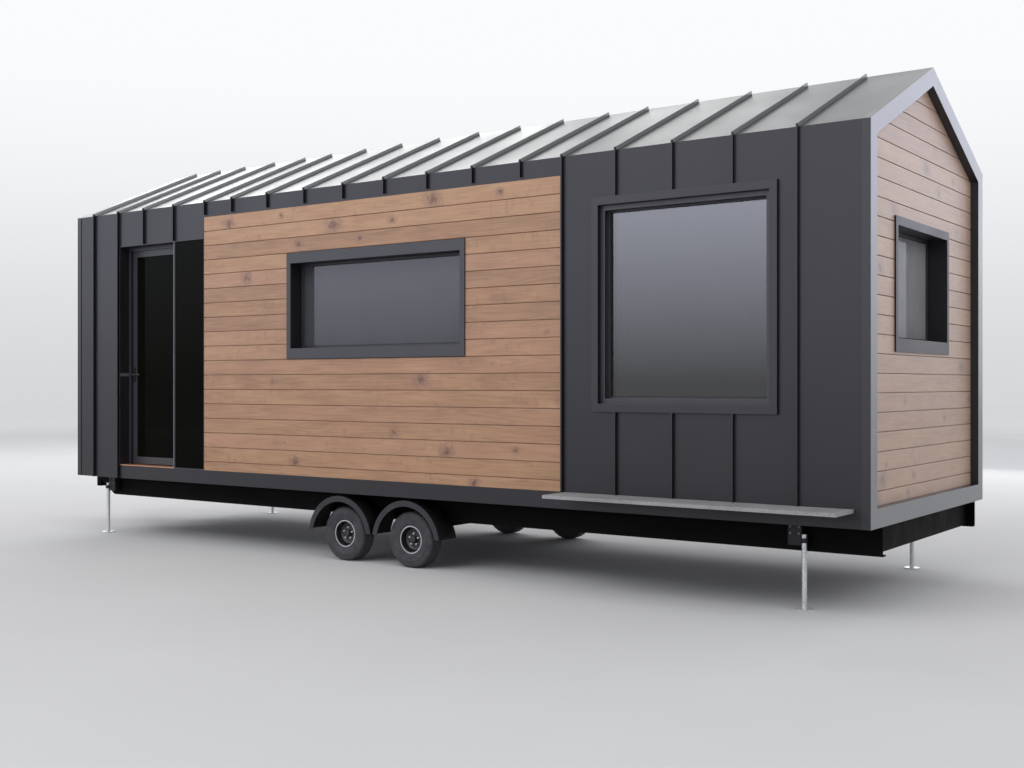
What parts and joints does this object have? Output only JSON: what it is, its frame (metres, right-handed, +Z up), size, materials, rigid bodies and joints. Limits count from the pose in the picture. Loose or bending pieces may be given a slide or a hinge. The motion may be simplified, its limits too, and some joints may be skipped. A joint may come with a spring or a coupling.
{
  "type": "tiny house on wheels",
  "caption": "Towable tiny house with gabled standing seam metal shell, timber cladding, portal gables, glazed hinged door, strip windows and a tandem axle chassis with drawbar.",
  "frame": {"origin": "under the middle of the overall box, on the ground, with drawbar, ledge and seams counted in", "axes": "+X along the body away from the drawbar, +Y from the entrance side to the rear side, +Z up"},
  "size_m": [9.23, 2.875, 3.7094],
  "materials": {
    "structure": "matt off-white lining boards",
    "seam_metal": "matt anthracite coated sheet",
    "skirt_metal": "matt anthracite coated sheet",
    "cladding_wood": "oiled horizontal boards with knots",
    "frame_metal": "satin dark grey powder coat",
    "glass": "clear tinted panes",
    "copper": "brushed copper coloured strip",
    "chassis_steel": "black chassis paint",
    "guard_metal": "satin dark grey paint",
    "galvanised": "bright galvanised steel",
    "stone": "pale speckled stone",
    "handle": "satin black",
    "tyre": "black rubber with worn tread",
    "rim": "silver grey steel"
  },
  "bodies": {
    "house": {"floor_deck": "structure", "front_wall_left": "structure", "front_wall_over_door": "structure", "front_wall_middle": "structure", "front_wall_right": "structure", "rear_wall": "structure", "right_gable_wall": "structure", "left_gable_wall": "structure", "roof_front": "structure", "roof_rear": "structure", "front_metal": "seam_metal", "rear_metal": "seam_metal", "roof_metal_front": "seam_metal", "roof_metal_rear": "seam_metal", "portal_frames": "seam_metal", "side_skirts": "skirt_metal", "front_wood": "cladding_wood", "rear_wood": "cladding_wood", "gable_wood": "cladding_wood", "strip_window_frames": "frame_metal", "big_window_frame": "frame_metal", "gable_window_frames": "frame_metal", "door_frame": "frame_metal", "window_glass": "glass", "threshold": "copper", "chassis_rails": "chassis_steel", "cross_members": "chassis_steel", "drawbar": "chassis_steel", "axles": "chassis_steel", "mudguards": "guard_metal", "leg_brackets": "guard_metal", "corner_legs": "galvanised", "coupling": "galvanised", "ledge": "stone"},
    "door": {"door_leaf": "frame_metal", "door_glass": "glass", "door_handle": "handle"},
    "wheel_lead_front": {"tyre_lead_front": "tyre", "rim_lead_front": "rim"},
    "wheel_lead_rear": {"tyre_lead_rear": "tyre", "rim_lead_rear": "rim"},
    "wheel_trail_front": {"tyre_trail_front": "tyre", "rim_trail_front": "rim"},
    "wheel_trail_rear": {"tyre_trail_rear": "tyre", "rim_trail_rear": "rim"}
  },
  "joints": [
    {"name": "door_hinge", "type": "hinge", "parent": "house", "child": "door", "pos_m": [-1.981, -0.9535, 1.731], "axis": [0, 0, -1], "range_deg": [0, 100]},
    {"name": "wheel_spin_lead_front", "type": "hinge", "parent": "house", "child": "wheel_lead_front", "pos_m": [0.133, -1.005, 0.225], "axis": [0, 1, 0], "continuous": true},
    {"name": "wheel_spin_lead_rear", "type": "hinge", "parent": "house", "child": "wheel_lead_rear", "pos_m": [0.133, 1.28, 0.225], "axis": [0, 1, 0], "continuous": true},
    {"name": "wheel_spin_trail_front", "type": "hinge", "parent": "house", "child": "wheel_trail_front", "pos_m": [0.848, -1.005, 0.225], "axis": [0, 1, 0], "continuous": true},
    {"name": "wheel_spin_trail_rear", "type": "hinge", "parent": "house", "child": "wheel_trail_rear", "pos_m": [0.848, 1.28, 0.225], "axis": [0, 1, 0], "continuous": true}
  ]
}
